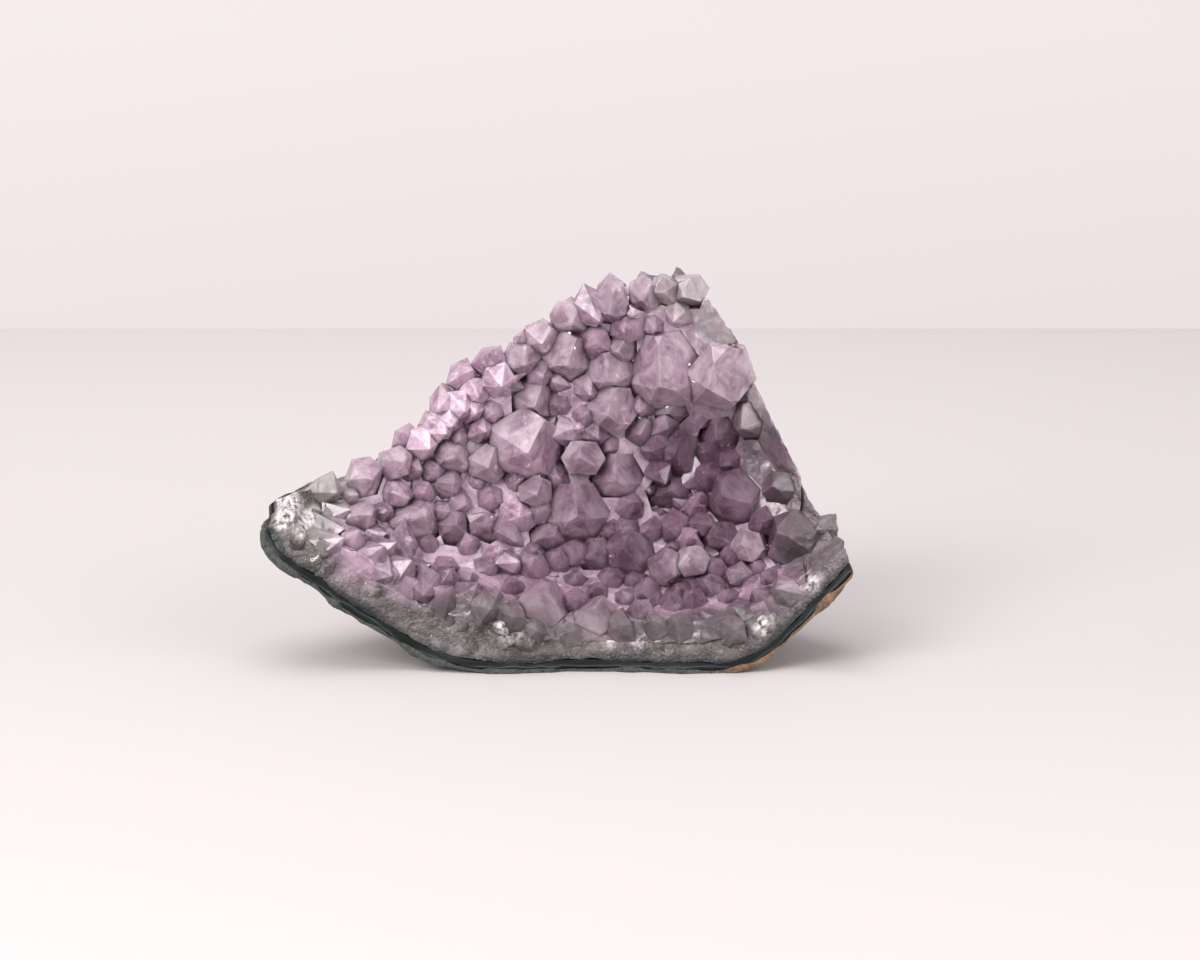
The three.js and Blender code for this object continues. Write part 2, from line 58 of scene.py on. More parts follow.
# ---- the wall's layers ----
WALL_LEVELS = {"outer_crust": 3, "agate_band": 3, "quartz_wall": 4}  # subdivision of each layer
CREASE_ANGLE = math.radians(38)
WARP = 0.55 * MM  # waviness that all layers share
WARP_SIZE = 7 * MM
CRUST_RELIEF = 0.8 * MM
AGATE_RELIEF = 0.12 * MM
QUARTZ_RELIEF = 0.6 * MM
GAP_CLOSING = 0.17 * MM  # each solid swells by about half of the gap to its neighbour

# ---- crystals ----
EDGE_WEAR = 0.16 * MM  # width of the worn edges of the crystals
CRYSTAL_FACET = 0.6 * MM  # longest edge of a crystal's fine mesh
ROOT_FACET = 1.1 * MM  # the same for the lining, which is far larger
GRAIN_FACET = 1.3 * MM
CRYSTAL_RELIEF = 0.045 * MM
ROOT_RELIEF = 0.5 * MM  # of the lining, where it is grey and granular
FINE_SEED = 11
FINE_SPACING = 3.9 * MM
FINE_ACROSS = (5.2 * MM, 8.4 * MM)
FINE_STAND = (2.2 * MM, 4.6 * MM)
HOLLOW_CENTRE = Vector((5, -70, 28)) * MM  # the crystals point toward the middle of the geode
FINE_ROOT = 1.6 * MM
FINE_TRIES = 12000
FRONT_TRIES = 3000
FRONT_SPACING = 2.6 * MM
FRONT_RIM = 3.2 * MM  # width of the rim that carries none
FRONT_ACROSS = (3.0 * MM, 6.0 * MM)
FRONT_STAND = (1.0 * MM, 2.2 * MM)
FINE_LIMIT = 0.4  # they stay off the broken right edge
FINE_RIGHT = 39 * MM  # and off the right end
POINT_SLOPE = 1.15  # rise of a point over its half width
CORNER_REACH = (0.84, 1.12)  # every second corner stands further out, so three faces are broad
LINING_DEPTH = (0.9 * MM, 3.8 * MM)  # how far over the quartz wall the lining's surface lies
BRIGHT = [
    "crystal_pair_upper_right", "crystal_main_left", "crystal_bright_upper", "crystal_centre_white_top",
    "crystal_white_cap", "crystal_top_glitter", "crystal_low_white", "crystal_left_pale",
    "crystal_left_white_triangle", "crystal_right_small_pale", "crystal_left_standing",
]  # crystals that are clearer than their neighbours and painted paler: partly their own tone, partly painted light where they catch the lamps
TONES = (-0.3, 0.35)  # the others differ by this much
FLAKES = (12, 26)  # bright inner veils in each large crystal
FLAKE_REACH = (0.25 * MM, 0.75 * MM)

# ---- colours, linear ----
PALE = (0.88, 0.74, 0.80)
BRIGHT_LILAC = (0.84, 0.66, 0.765)
LILAC = (0.65, 0.455, 0.58)
SMOKY_LILAC = (0.46, 0.30, 0.40)
DEEP = (0.33, 0.20, 0.29)
CREVICE_SHADE = (0.11, 0.07, 0.08)
GREY_PALE = (0.155, 0.138, 0.133)
GREY = (0.075, 0.066, 0.063)
GREY_DARK = (0.026, 0.024, 0.024)
VEIL = (0.82, 0.76, 0.76)
AGATE_DARK = (0.003, 0.004, 0.004)
AGATE_GREEN = (0.006, 0.009, 0.010)
AGATE_PALE = (0.03, 0.045, 0.052)
MOSS = (0.045, 0.05, 0.042)
RUST = (0.20, 0.105, 0.055)
SHADE_AND_TONE_FILTER = (0.44, 0.36, 0.42)
ABSORPTION = (0.72, 0.50, 0.62)

# ---- studio ----
VIEW_ELEVATION = math.radians(10)
VIEW_DISTANCE = 0.494
AIM = (0.574, 0.456)  # share of the box's width and height that the camera looks at
LENS = 85
FLOOR_TINT = (0.42, 0.402, 0.40)
WALL_Y = 0.46


# ---- mesh helpers ----
def new_piece(name, bm, material, nodes=()):
    mesh = bpy.data.meshes.new(name)
    bm.to_mesh(mesh)
    bm.free()
    piece = bpy.data.objects.new(name, mesh)
    bpy.context.scene.collection.objects.link(piece)
    mesh.materials.append(material)
    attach(piece, "root")
    if nodes:
        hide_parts(*nodes)
    return piece


def node_bmesh(node):
    bm = bmesh.new()
    bm.from_mesh(NODES[node].data)
    bmesh.ops.remove_doubles(bm, verts=bm.verts, dist=0.002 * MM)
    return bm


def swell(bm, amount):
    bm.normal_update()
    shifts = [vert.normal * min(vert.calc_shell_factor(), 3) * amount for vert in bm.verts]
    for vert, shift in zip(bm.verts, shifts):
        vert.co += shift


def split_long_edges(bm, longest, passes=5):
    for _ in range(passes):
        edges = [edge for edge in bm.edges if edge.calc_length() > longest]
        if not edges:
            return
        bmesh.ops.subdivide_edges(bm, edges=edges, cuts=1)
        bmesh.ops.triangulate(bm, faces=[face for face in bm.faces if len(face.verts) > 4])


def smooth_within(bm, angle):
    for face in bm.faces:
        face.smooth = True
    for edge in bm.edges:
        edge.smooth = len(edge.link_faces) == 2 and edge.calc_face_angle(0) < angle


def octaves(point, size, count=3):
    value = 0.0
    for octave in range(count):
        value += noise.noise(point / (size / 2**octave)) / 2**octave
    return value


def push(bm, amount_at):
    bm.normal_update()
    moves = [vert.normal * amount_at(vert.co) for vert in bm.verts]
    for vert, move in zip(bm.verts, moves):
        vert.co += move


def smoothstep(value, low, high):
    share = min(max((value - low) / (high - low), 0), 1)
    return share * share * (3 - 2 * share)


def tree_of(*nodes):
    verts, faces = [], []
    for node in nodes:
        mesh = NODES[node].data
        start = len(verts)
        verts += [vert.co.copy() for vert in mesh.vertices]
        faces += [[start + index for index in polygon.vertices] for polygon in mesh.polygons]
    return BVHTree.FromPolygons(verts, faces)


def paint(piece, name, value_at):
    """Stores a number for each point of the piece, which its material reads by name."""
    attribute = piece.data.attributes.new(name, "FLOAT", "POINT")
    attribute.data.foreach_set("value", [value_at(vert.co) for vert in piece.data.vertices])


# ---- material helpers ----
class Nodes:
    """A material's node tree, with short calls for the nodes that these materials use."""

    def __init__(self, name):
        self.material = bpy.data.materials.new(name)
        self.material.use_nodes = True
        self.tree = self.material.node_tree
        self.shader = self.tree.nodes["Principled BSDF"]
        self.output = self.tree.nodes["Material Output"]
        self.coordinates = self.add("ShaderNodeTexCoord").outputs["Object"]

    def add(self, kind, **inputs):
        node = self.tree.nodes.new(kind)
        for key, value in inputs.items():
            self.put(node.inputs[key.replace("_", " ")], value)
        return node

    def put(self, socket, value):
        if isinstance(value, bpy.types.NodeSocket):
            self.tree.links.new(value, socket)
        elif socket.type == "RGBA" and len(value) == 3:
            socket.default_value = (*value, 1)
        else:
            socket.default_value = value

    def set(self, **inputs):
        for key, value in inputs.items():
            self.put(self.shader.inputs[key.replace("_", " ")], value)

    def noise(self, size, detail=4, roughness=0.55, distortion=0.0):
        node = self.add("ShaderNodeTexNoise", Vector=self.coordinates, Scale=1 / size)
        node.inputs["Detail"].default_value = detail
        node.inputs["Roughness"].default_value = roughness
        node.inputs["Distortion"].default_value = distortion
        return node.outputs["Fac"]

    def cells(self, size, output="Distance"):
        node = self.add("ShaderNodeTexVoronoi", Vector=self.coordinates, Scale=1 / size)
        return node.outputs[output]

    def painted(self, name):
        node = self.add("ShaderNodeAttribute")
        node.attribute_name = name
        return node.outputs["Fac"]

    def ramp(self, factor, *stops):
        node = self.add("ShaderNodeValToRGB", Fac=factor)
        elements = node.color_ramp.elements
        while len(elements) < len(stops):
            elements.new(0.5)
        for element, (place, colour) in zip(elements, stops):
            element.position = place
            element.color = (*colour, 1) if isinstance(colour, tuple) else (colour, colour, colour, 1)
        return node.outputs["Color"]

    def mix(self, factor, first, second, blend="MIX"):
        node = self.tree.nodes.new("ShaderNodeMix")
        node.data_type = "RGBA"
        node.blend_type = blend
        self.put(node.inputs[0], factor)
        self.put(node.inputs[6], first)
        self.put(node.inputs[7], second)
        return node.outputs[2]

    def math(self, operation, first, second):
        node = self.tree.nodes.new("ShaderNodeMath")
        node.operation = operation
        self.put(node.inputs[0], first)
        self.put(node.inputs[1], second)
        return node.outputs[0]

    def map(self, value, low, high, to_low=0.0, to_high=1.0):
        node = self.add("ShaderNodeMapRange", Value=value)
        node.inputs["From Min"].default_value = low
        node.inputs["From Max"].default_value = high
        node.inputs["To Min"].default_value = to_low
        node.inputs["To Max"].default_value = to_high
        return node.outputs["Result"]

    def pointed(self, low, high):
        node = self.add("ShaderNodeNewGeometry")
        return self.map(node.outputs["Pointiness"], low, high)

    def crevices(self, distance):
        """One in the open, toward zero in narrow gaps between pieces; it masks painted shade."""
        node = self.add("ShaderNodeAmbientOcclusion", Distance=distance)
        node.samples = 6
        return node.outputs["AO"]

    def bump(self, height, depth, strength=1.0):
        node = self.add("ShaderNodeBump", Height=height, Distance=depth, Strength=strength)
        self.put(self.shader.inputs["Normal"], node.outputs["Normal"])

    def absorb(self, colour, density):
        node = self.add("ShaderNodeVolumeAbsorption", Color=colour, Density=density)
        self.tree.links.new(node.outputs[0], self.output.inputs["Volume"])


# ---- colours that several materials share ----
def speckled_grey(nodes):
    """Granular grey quartz: mixed grains, darker clouds and pale specks."""
    grains = nodes.ramp(nodes.cells(0.8 * MM, "Color"), (0.0, GREY_DARK), (0.5, GREY), (1.0, GREY_PALE))
    clouds = nodes.ramp(nodes.noise(5 * MM, detail=7), (0.35, GREY_DARK), (0.5, GREY), (0.68, GREY_PALE))
    colour = nodes.mix(0.5, grains, clouds)
    specks = nodes.ramp(nodes.noise(0.6 * MM, detail=4, roughness=0.75), (0.6, 0.0), (0.68, 1.0))
    return nodes.mix(nodes.math("MULTIPLY", specks, 0.3), colour, VEIL)


def lilac_tint(nodes, light, dark):
    clouds = nodes.ramp(nodes.noise(4 * MM, detail=6, distortion=0.6), (0.38, dark), (0.6, light))
    veils = nodes.ramp(nodes.noise(1.0 * MM, detail=8, roughness=0.75), (0.53, 0.0), (0.66, 1.0))
    specks = nodes.ramp(nodes.noise(0.4 * MM, detail=5, roughness=0.7), (0.6, 0.0), (0.67, 1.0))
    veiled = nodes.mix(nodes.math("MULTIPLY", veils, 0.65), clouds, PALE)
    return nodes.mix(nodes.math("MULTIPLY", specks, 0.55), veiled, VEIL)


# ---- materials ----
def amethyst_material(name, light, dark, transmission, density, roughness, spread):
    nodes = Nodes(name)
    greyness = nodes.painted("greyness")
    cloudy_grey = nodes.mix(0.16, speckled_grey(nodes), VEIL)
    tint = nodes.mix(greyness, lilac_tint(nodes, light, dark), cloudy_grey)
    # painted highlight: paler along the crystals' edges, weaker where the quartz is grey
    edge_highlight = nodes.math("MULTIPLY", nodes.pointed(0.52, 0.60), nodes.map(greyness, 0.0, 1.0, 0.4, 0.08))
    tint = nodes.mix(edge_highlight, tint, PALE)
    # painted light and shade, partly darker tone: the tint is filtered darker where the painted value is low
    shade = nodes.painted("shade")
    tint = nodes.mix(shade, nodes.mix(1.0, tint, SHADE_AND_TONE_FILTER, "MULTIPLY"), tint)
    # painted shade: the colour turns dark in narrow gaps between pieces, from ambient occlusion
    crevice_shade_mask = nodes.map(nodes.crevices(1.6 * MM), 0.15, 0.7, 0.0, 1.0)
    colour = nodes.mix(crevice_shade_mask, CREVICE_SHADE, tint)
    nodes.set(Base_Color=colour, IOR=1.544, Coat_Weight=0.35, Coat_Roughness=0.04)
    nodes.set(Subsurface_Weight=0.8, Subsurface_Radius=(1.0, 0.8, 0.9), Subsurface_Scale=spread)
    clear = nodes.math("MULTIPLY", transmission, nodes.map(greyness, 0.0, 1.0, 1.0, 0.3))
    nodes.set(Transmission_Weight=clear)
    frost = nodes.noise(2.4 * MM, detail=5)
    nodes.set(Roughness=nodes.map(frost, 0.4, 0.75, roughness, roughness + 0.22))
    steps = nodes.math("ADD", nodes.noise(0.9 * MM, detail=5, roughness=0.65), nodes.cells(1.5 * MM))
    nodes.bump(steps, 0.2 * MM, 0.7)
    nodes.absorb(ABSORPTION, density)
    return nodes.material


def quartz_material():
    nodes = Nodes("grey_quartz")
    grey = speckled_grey(nodes)
    purple = nodes.mix(0.55, grey, lilac_tint(nodes, LILAC, DEEP))
    colour = nodes.mix(nodes.painted("greyness"), purple, grey)
    flecks = nodes.map(nodes.noise(1.1 * MM, detail=6), 0.4, 0.58, 0.0, 0.8)
    colour = nodes.mix(nodes.math("MULTIPLY", nodes.painted("veil"), flecks), colour, VEIL)
    dark = nodes.map(nodes.painted("depth"), 1.9, 3.6)
    colour = nodes.mix(dark, AGATE_GREEN, colour)
    nodes.set(Base_Color=colour, Roughness=0.4, Specular_IOR_Level=0.35, Transmission_Weight=0.1)
    nodes.set(Coat_Weight=0.1, Coat_Roughness=0.12)
    rough = nodes.math("ADD", nodes.cells(0.6 * MM), nodes.noise(0.4 * MM, detail=4))
    nodes.bump(rough, 0.22 * MM, 0.8)
    return nodes.material


def agate_material():
    nodes = Nodes("agate")
    wander = nodes.map(nodes.noise(4 * MM, detail=4), 0.3, 0.7, -0.22, 0.22)
    depth = nodes.math("ADD", nodes.painted("depth"), wander)
    bands = nodes.ramp(
        nodes.map(depth, 0.5, 2.1),
        (0.0, AGATE_GREEN), (0.26, AGATE_DARK), (0.36, AGATE_PALE), (0.46, AGATE_GREEN), (0.65, AGATE_DARK),
    )
    nodes.set(Base_Color=bands, Roughness=0.6, Specular_IOR_Level=0.2)
    nodes.bump(nodes.noise(0.6 * MM, detail=4), 0.15 * MM, 0.8)
    return nodes.material


def crust_material():
    nodes = Nodes("crust")
    patches = nodes.math("ADD", nodes.noise(11 * MM, detail=7, distortion=0.5), nodes.painted("rust"))
    colour = nodes.ramp(patches, (0.42, MOSS), (0.58, (0.12, 0.075, 0.045)), (0.78, RUST))
    grains = nodes.ramp(nodes.noise(0.7 * MM, detail=6, roughness=0.7), (0.35, 0.45), (0.7, 1.3))
    nodes.set(Base_Color=nodes.mix(1.0, colour, grains, "MULTIPLY"), Roughness=0.85)
    pits = nodes.math("ADD", nodes.noise(0.9 * MM, detail=6), nodes.cells(1.4 * MM))
    nodes.bump(pits, 0.5 * MM, 0.9)
    return nodes.material


def flake_material():
    nodes = Nodes("inner_veils")
    nodes.set(Base_Color=(0.93, 0.88, 0.90), Roughness=0.25, Coat_Weight=0.5, Coat_Roughness=0.05)
    return nodes.material


# ---- the wall ----
def warp(bm):
    """Moves all layers alike, so that they stay nested; the underside stays on the ground."""
    for vert in bm.verts:
        shift = noise.noise_vector(vert.co / WARP_SIZE) + 0.5 * noise.noise_vector(vert.co / (WARP_SIZE / 2.5))
        shift.z *= smoothstep(vert.co.z, 0.2 * MM, 2 * MM)
        vert.co += WARP * shift
        vert.co.z = max(vert.co.z, 0)


def finer_wall(node):
    """The layer's own mesh, subdivided smooth between its sharp rims."""
    bm = node_bmesh(node)
    bmesh.ops.join_triangles(
        bm, faces=bm.faces, angle_face_threshold=math.radians(30), angle_shape_threshold=math.radians(120)
    )
    creases = bm.edges.layers.float.new("crease_edge")
    for edge in bm.edges:
        edge[creases] = 1.0 if edge.calc_face_angle(0) > CREASE_ANGLE else 0.0
    mesh = bpy.data.meshes.new("wall_work")
    bm.to_mesh(mesh)
    bm.free()
    work = bpy.data.objects.new("wall_work", mesh)
    bpy.context.scene.collection.objects.link(work)
    modifier = work.modifiers.new("finer", "SUBSURF")
    modifier.levels = WALL_LEVELS[node]
    evaluated = work.evaluated_get(bpy.context.evaluated_depsgraph_get())
    fine = bmesh.new()
    fine.from_mesh(evaluated.to_mesh())
    evaluated.to_mesh_clear()
    bpy.data.objects.remove(work)
    bpy.data.meshes.remove(mesh)
    return fine


def chips(at, size):
    """Small broken facets: nearest and next cell centre, as in crushed grains."""
    distances = noise.voronoi(at / size)[0]
    return min(distances[1] - distances[0], 0.6) - distances[0] * 0.5


def make_layer(node, name, material, relief_at, swelling):
    bm = finer_wall(node)
    warp(bm)
    push(bm, lambda at: swelling + relief_at(at))
    for vert in bm.verts:
        vert.co.z = max(vert.co.z, 0)
    smooth_within(bm, math.radians(50))
    piece = new_piece(name, bm, material, [node])
    crust = tree_of("outer_crust")
    paint(piece, "depth", lambda at: 0.5 + crust.find_nearest(at)[3] / MM)
    return piece


def rust_at(at):
    """Rusty toward the right end and in patches over the back, dark along the front rim on the left."""
    right = smoothstep(at.x, 20 * MM, 34 * MM)
    back = smoothstep(at.y - CAD_LOW.y, 4 * MM, 14 * MM)
    return 0.42 * right + 0.27 * back * (1 - right) - 0.22


def make_wall(quartz_finish):
    crust = make_layer(
        "outer_crust", "crust_skin", crust_material(),
        lambda at: CRUST_RELIEF * max(octaves(at, 5 * MM, 4), -0.2), 0.1 * MM,
    )
    paint(crust, "rust", rust_at)
    make_layer(
        "agate_band", "agate_rim", agate_material(),
        lambda at: AGATE_RELIEF * octaves(at, 2.5 * MM), GAP_CLOSING,
    )
    quartz = make_layer(
        "quartz_wall", "quartz_rock", quartz_finish,
        lambda at: QUARTZ_RELIEF * (0.5 * octaves(at, 5 * MM) + 0.55 * chips(at, 2.6 * MM)), GAP_CLOSING,
    )
    paint(quartz, "greyness", greyness_at)
    paint(quartz, "veil", veil_at)


# ---- zones of colour over the whole object ----
def right_edge(x, z):
    """One on the broken strip along the right side, which slants up to the peak."""
    edge_x = 48 - 0.42 * z
    return smoothstep(x, edge_x - 5, edge_x)


def greyness_at(at):
    """One where the quartz is grey: low on the front, at the left tip, the right edge and the peak."""
    wander = 3.2 * octaves(at, 8 * MM, 3)
    x, y, z = (at.x / MM, (at.y - CAD_LOW.y) / MM, at.z / MM)
    front = 1 - smoothstep(y + 0.5 * max(z - 8, 0) + wander, 2.5, 8)
    tip = 1 - smoothstep(x + wander, -40, -33)
    edge = right_edge(x + wander, z)
    peak = smoothstep(x + wander, 14, 18) * smoothstep(z + wander, 58, 61.5)
    return max(front, tip, 0.85 * edge, 0.7 * peak)


def shade_at(at, extra=0.0):
    """One where the amethyst is painted pale and bright; less low down, partly its own darker tone and partly
    painted shade from the light above, and less in the hollow, as painted shadow under the large crystals.
    """
    x, z = (at.x / MM, at.z / MM)
    # darker low down: partly the amethyst's own tone, partly painted shade from the light above
    rise = 0.25 + 0.75 * smoothstep(z + 0.25 * (-x), 12, 42)
    # painted shadow in the hollow under the large crystals
    hollow = math.exp(-(((x - 25) / 12) ** 2) - ((z - 33) / 9) ** 2)
    return min(max(rise + extra - 1.3 * hollow + 0.5 * octaves(at, 7 * MM, 2), 0), 1)


VEILS = [
    (-46, 27, 3.4), (-42, 25, 2.6), (-17, 12, 2.6), (-8, 8, 3.2), (9, 6, 2.4), (14, 6, 2.4), (35, 8, 2.6), (43, 15, 2.4),
]


def veil_at(at):
    """One at the pale broken patches of the front, each given as x, z and reach in mm."""
    near = max(reach - math.hypot(at.x / MM - x, at.z / MM - z) for x, z, reach in VEILS)
    return smoothstep(near, 0, 2)


# ---- crystals from the CAD solids ----
def crystal_relief(at):
    return CRYSTAL_RELIEF * (octaves(at, 3 * MM, 2) + 0.5 * octaves(at, 0.9 * MM, 2))


def root_relief(at):
    return crystal_relief(at) + ROOT_RELIEF * greyness_at(at) * chips(at, 2.2 * MM)


def refine_crystal(node, name, material, clearer_and_lit=0.0, relief_at=crystal_relief, facet=CRYSTAL_FACET):
    bm = node_bmesh(node)
    swell(bm, GAP_CLOSING)
    bmesh.ops.dissolve_limit(bm, angle_limit=math.radians(1.5), verts=bm.verts, edges=bm.edges)
    sharp = [edge for edge in bm.edges if edge.calc_face_angle(0) > math.radians(12)]
    bmesh.ops.bevel(bm, geom=sharp, offset=EDGE_WEAR, segments=2, affect="EDGES", clamp_overlap=True)
    bmesh.ops.triangulate(bm, faces=bm.faces)
    split_long_edges(bm, facet)
    push(bm, relief_at)
    smooth_within(bm, math.radians(20))
    piece = new_piece(name, bm, material, [node])
    paint(piece, "greyness", lambda at: greyness_at(at) * (1 - clearer_and_lit))
    # painted light and shade, together with the crystal's own tone
    paint(piece, "shade", lambda at: shade_at(at, clearer_and_lit))
    return piece


# ---- fine crystals, seeded ----
def lining_places(rng):
    """Places on the bare lining between the CAD crystals, at least FINE_SPACING apart."""
    mesh = NODES["druse"].data
    quartz = tree_of("quartz_wall")
    large = tree_of(*[name for name in NODES if name.startswith("crystal_")])
    triangles = [polygon for polygon in mesh.polygons if polygon.normal.y < 0.3]
    weights = [polygon.area for polygon in triangles]
    places = []
    for polygon in rng.choices(triangles, weights, k=FINE_TRIES):
        a, b, c = (mesh.vertices[index].co for index in list(polygon.vertices)[:3])
        u, v = rng.random(), rng.random()
        if u + v > 1:
            u, v = 1 - u, 1 - v
        at = a + (b - a) * u + (c - a) * v
        is_lining = LINING_DEPTH[0] < quartz.find_nearest(at)[3] < LINING_DEPTH[1]
        is_free = large.find_nearest(at)[3] > 0.6 * MM
        is_free = is_free and right_edge(at.x / MM, at.z / MM) < FINE_LIMIT and at.x < FINE_RIGHT
        if is_lining and is_free and all((at - other).length > FINE_SPACING for other, _ in places):
            places.append((at, polygon.normal.copy()))
    return places


def add_fine_crystal(bm, rng, at, axis, across, stand):
    radius = across / 2
    tip = Vector((rng.uniform(-0.3, 0.3) * radius, rng.uniform(-0.3, 0.3) * radius, stand))
    turn = rng.uniform(0, math.pi / 3)
    place = Matrix.Translation(at) @ axis.to_track_quat("Z", "Y").to_matrix().to_4x4()
    low, high = [], []
    for corner in range(6):
        angle = turn + corner * math.pi / 3
        reach = radius * CORNER_REACH[corner % 2] * rng.uniform(0.9, 1.08)
        x, y = reach * math.cos(angle), reach * math.sin(angle)
        shoulder = stand - POINT_SLOPE * math.hypot(x - tip.x, y - tip.y)
        low.append(bm.verts.new(place @ Vector((x, y, min(-FINE_ROOT, shoulder - 0.1 * MM)))))
        high.append(bm.verts.new(place @ Vector((x, y, shoulder))))
    apex = bm.verts.new(place @ tip)
    for corner in range(6):
        after = (corner + 1) % 6
        bm.faces.new((low[corner], low[after], high[after], high[corner]))
        bm.faces.new((high[corner], high[after], apex))
    bm.faces.new(low[::-1])


def front_places(rng):
    """Places on the broken front face of the quartz, above its dark rim."""
    mesh = NODES["quartz_wall"].data
    agate = tree_of("agate_band")
    triangles = [polygon for polygon in mesh.polygons if polygon.normal.y < -0.7]
    weights = [polygon.area for polygon in triangles]
    places = []
    for polygon in rng.choices(triangles, weights, k=FRONT_TRIES):
        a, b, c = (mesh.vertices[index].co for index in list(polygon.vertices)[:3])
        u, v = sorted((rng.random(), rng.random()))
        at = a * u + b * (v - u) + c * (1 - v)
        is_high = agate.find_nearest(at)[3] > FRONT_RIM
        if is_high and all((at - other).length > FRONT_SPACING for other, _ in places):
            places.append((at, polygon.normal.copy()))
    return places


def make_front_grains(material):
    rng = random.Random(FINE_SEED + 2)
    bm = bmesh.new()
    for at, normal in front_places(rng):
        scatter = Vector((rng.uniform(-0.6, 0.6), 0, rng.uniform(-0.2, 0.8)))
        axis = (normal + scatter).normalized()
        add_fine_crystal(bm, rng, at, axis, rng.uniform(*FRONT_ACROSS), rng.uniform(*FRONT_STAND))
    bmesh.ops.bevel(bm, geom=bm.edges, offset=0.15 * MM, segments=1, affect="EDGES", clamp_overlap=True)
    bmesh.ops.triangulate(bm, faces=bm.faces)
    split_long_edges(bm, GRAIN_FACET)
    push(bm, lambda at: 0.25 * MM * (octaves(at, 2 * MM) + 0.5 * chips(at, 1.2 * MM)))
    smooth_within(bm, math.radians(30))
    piece = new_piece("front_grains", bm, material)
    paint(piece, "greyness", greyness_at)
    paint(piece, "veil", veil_at)
    paint(piece, "depth", lambda at: 5)


def make_fine_crystals(material):
    rng = random.Random(FINE_SEED)
    bm = bmesh.new()
    for at, normal in lining_places(rng):
        inward = (HOLLOW_CENTRE - at).normalized()
        scatter = Vector((rng.uniform(-0.5, 0.5), rng.uniform(-0.2, 0.2), rng.uniform(-0.35, 0.5)))
        axis = (normal + 1.3 * inward + scatter).normalized()
        add_fine_crystal(bm, rng, at, axis, rng.uniform(*FINE_ACROSS), rng.uniform(*FINE_STAND))
    bmesh.ops.bevel(bm, geom=bm.edges, offset=0.12 * MM, segments=2, affect="EDGES", clamp_overlap=True)
    bmesh.ops.triangulate(bm, faces=bm.faces)
    split_long_edges(bm, 1.1 * MM, passes=3)
    push(bm, crystal_relief)
    smooth_within(bm, math.radians(20))
    piece = new_piece("fine_crystals", bm, material)
    paint(piece, "greyness", greyness_at)
    # painted light and shade, together with the amethyst's own tone
    paint(piece, "shade", shade_at)


# ---- bright flaws sealed in the large crystals ----
def add_flake(bm, rng, at, reach):
    """A closed thin plate with an uneven six-cornered outline."""
    normal = Vector((rng.uniform(-1, 1), rng.uniform(-1, 1), rng.uniform(-1, 1))).normalized()
    place = Matrix.Translation(at) @ normal.to_track_quat("Z", "Y").to_matrix().to_4x4()
    rim = []
    for corner in range(6):
        angle = corner * math.pi / 3
        out = reach * rng.uniform(0.4, 1.1)
        rim.append(bm.verts.new(place @ Vector((out * math.cos(angle), out * math.sin(angle), 0))))
    thick = 0.05 * MM
    top, under = (bm.verts.new(place @ Vector((0, 0, side * thick))) for side in (1, -1))
    for corner in range(6):
        after = (corner + 1) % 6
        bm.faces.new((rim[corner], rim[after], top))
        bm.faces.new((rim[after], rim[corner], under))


def make_flakes(material):
    rng = random.Random(FINE_SEED + 1)
    bm = bmesh.new()
    for node in sorted(NODES):
        if not node.startswith("crystal_"):
            continue
        mesh = NODES[node].data
        middle = sum((vert.co for vert in mesh.vertices), Vector()) / len(mesh.vertices)
        outer = [polygon.center for polygon in mesh.polygons if polygon.normal.y < 0.2]
        for _ in range(rng.randint(*FLAKES)):
            at = middle.lerp(rng.choice(outer), rng.uniform(0.6, 0.95))
            add_flake(bm, rng, at, rng.uniform(*FLAKE_REACH))
    return new_piece("inner_veils", bm, material)


# ---- studio ----
def wall_material():
    """Glowing backdrop with painted light: its own emission is brighter at the upper left, as from one large
    window.
    """
    nodes = Nodes("studio_wall")
    axes = nodes.add("ShaderNodeSeparateXYZ", Vector=nodes.coordinates)
    rise = nodes.map(axes.outputs["Z"], 0.0, 0.1, 0.1, 0.75)
    side = nodes.map(axes.outputs["X"], -0.22, 0.22, 0.25, -0.15)
    glow = nodes.ramp(nodes.math("ADD", rise, side), (0.0, (0.84, 0.755, 0.765)), (1.0, (0.93, 0.85, 0.86)))
    nodes.set(Base_Color=(0, 0, 0), Specular_IOR_Level=0.0, Emission_Color=glow, Emission_Strength=1.0)
    return nodes.material


def floor_material():
    nodes = Nodes("studio_floor")
    axes = nodes.add("ShaderNodeSeparateXYZ", Vector=nodes.coordinates)
    # painted light: the floor is painted brighter toward the back
    painted_light_away = nodes.map(axes.outputs["Y"], 0.0, 0.44, 1.0, 1.4)
    tint = nodes.mix(1.0, FLOOR_TINT, painted_light_away, "MULTIPLY")
    nodes.set(Base_Color=tint, Roughness=0.7, Specular_IOR_Level=0.1)
    return nodes.material


def add_stage(name, profile, material):
    half = 3.0
    bm = bmesh.new()
    rows = [[bm.verts.new((x, y, z)) for x in (-half, half)] for y, z in profile]
    for first, second in zip(rows, rows[1:]):
        bm.faces.new((first[0], first[1], second[1], second[0])).smooth = True
    mesh = bpy.data.meshes.new(name)
    bm.to_mesh(mesh)
    bm.free()
    mesh.materials.append(material)
    stage = bpy.data.objects.new(name, mesh)
    bpy.context.scene.collection.objects.link(stage)


def make_stage():
    add_stage("studio_floor", [(-2.5, 0.0), (WALL_Y, 0.0)], floor_material())
    add_stage("studio_wall", [(WALL_Y, 0.0), (WALL_Y, 1.6)], wall_material())


def add_softbox(name, place, size, power, colour, aim=(0, 0, 0.03)):
    light = bpy.data.lights.new(name, "AREA")
    light.shape = "RECTANGLE"
    light.size, light.size_y = size
    light.energy = power
    light.color = colour
    lamp = bpy.data.objects.new(name, light)
    lamp.location = place
    lamp.rotation_euler = (Vector(aim) - Vector(place)).to_track_quat("-Z", "Y").to_euler()
    bpy.context.scene.collection.objects.link(lamp)


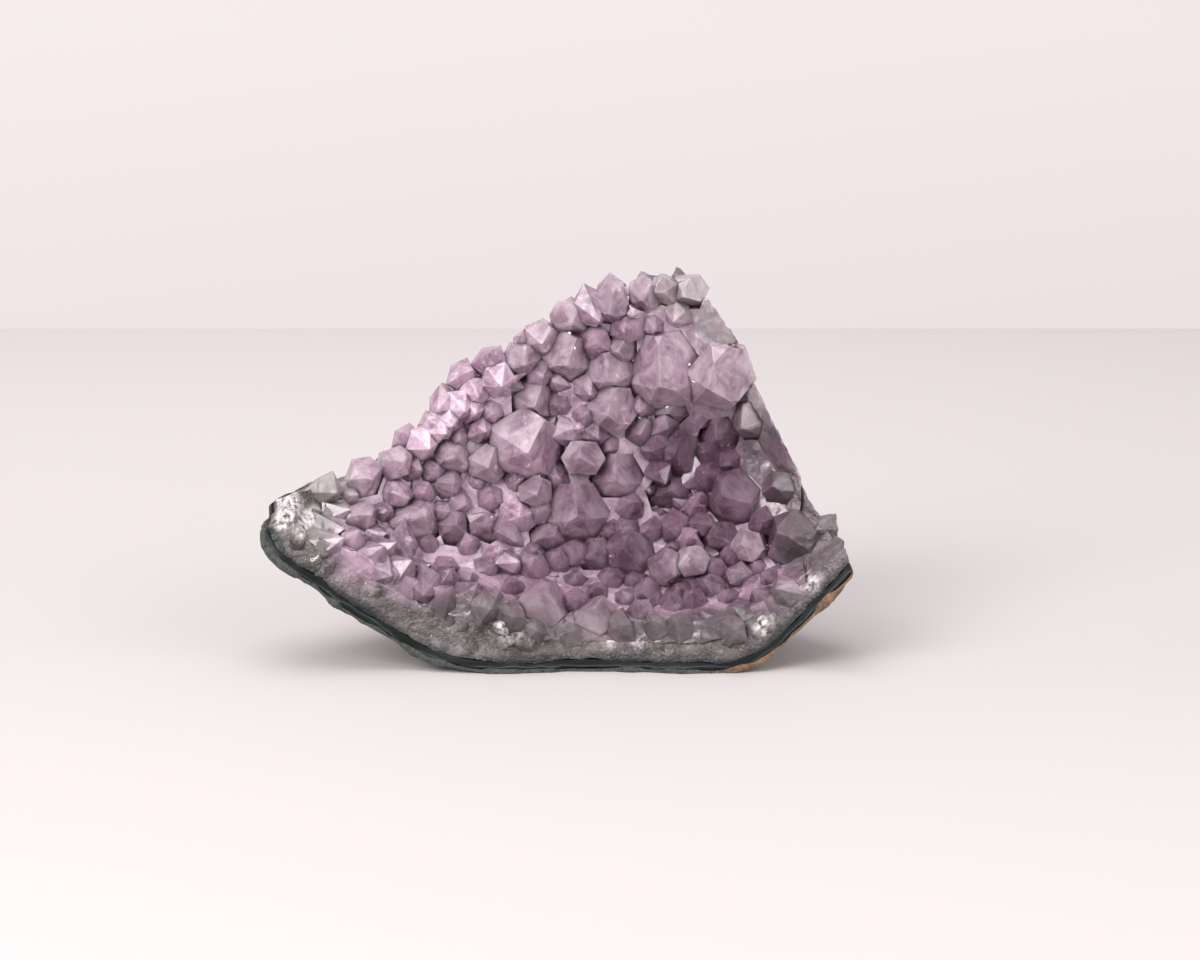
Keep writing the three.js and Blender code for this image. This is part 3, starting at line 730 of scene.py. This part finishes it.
def make_lights():
    add_softbox("key", (-0.45, -0.6, 0.45), (0.5, 0.5), 10, (1.0, 0.965, 0.965))
    add_softbox("top", (-0.1, -0.1, 0.7), (0.6, 0.5), 3.8, (1.0, 0.97, 0.98))
    add_softbox("fill", (0.5, -0.45, 0.3), (0.6, 0.5), 3.5, (1.0, 0.97, 0.98))
    world = bpy.data.worlds.new("studio")
    world.use_nodes = True
    background = world.node_tree.nodes["Background"]
    background.inputs["Color"].default_value = (1.0, 0.95, 0.955, 1)
    background.inputs["Strength"].default_value = 0.58
    bpy.context.scene.world = world
    bpy.context.scene.view_settings.view_transform = "Standard"


def make_camera():
    camera = bpy.data.cameras.new("camera")
    camera.lens = LENS
    camera.sensor_width = 36
    camera.clip_start = 0.01
    eye = bpy.data.objects.new("camera", camera)
    target = Vector((CAD_LOW.x + AIM[0] * SIZE.x, 0, CAD_LOW.z + AIM[1] * SIZE.z))
    back = Vector((0, -math.cos(VIEW_ELEVATION), math.sin(VIEW_ELEVATION)))
    eye.location = target + back * VIEW_DISTANCE
    eye.rotation_euler = (-back).to_track_quat("-Z", "Y").to_euler()
    bpy.context.scene.collection.objects.link(eye)
    bpy.context.scene.camera = eye


# ---- build ----
grey_quartz = quartz_material()
make_wall(grey_quartz)
clear = amethyst_material("amethyst", BRIGHT_LILAC, SMOKY_LILAC, 0.72, 30, 0.03, 2.2 * MM)
cloudy = amethyst_material("amethyst_small", LILAC, DEEP, 0.62, 40, 0.06, 1.0 * MM)
roots = amethyst_material("amethyst_roots", LILAC, DEEP, 0.4, 80, 0.12, 1.0 * MM)
refine_crystal("druse", "druse_roots", roots, relief_at=root_relief, facet=ROOT_FACET)
tones = random.Random(FINE_SEED + 3)
for node in sorted(NODES):
    if node.startswith("crystal_"):
        clearer_and_lit = 0.8 if node in BRIGHT else tones.uniform(*TONES)
        refine_crystal(node, node.replace("crystal_", "amethyst_"), clear, clearer_and_lit)
make_fine_crystals(cloudy)
make_front_grains(grey_quartz)
make_flakes(flake_material())
make_stage()
make_lights()
make_camera()
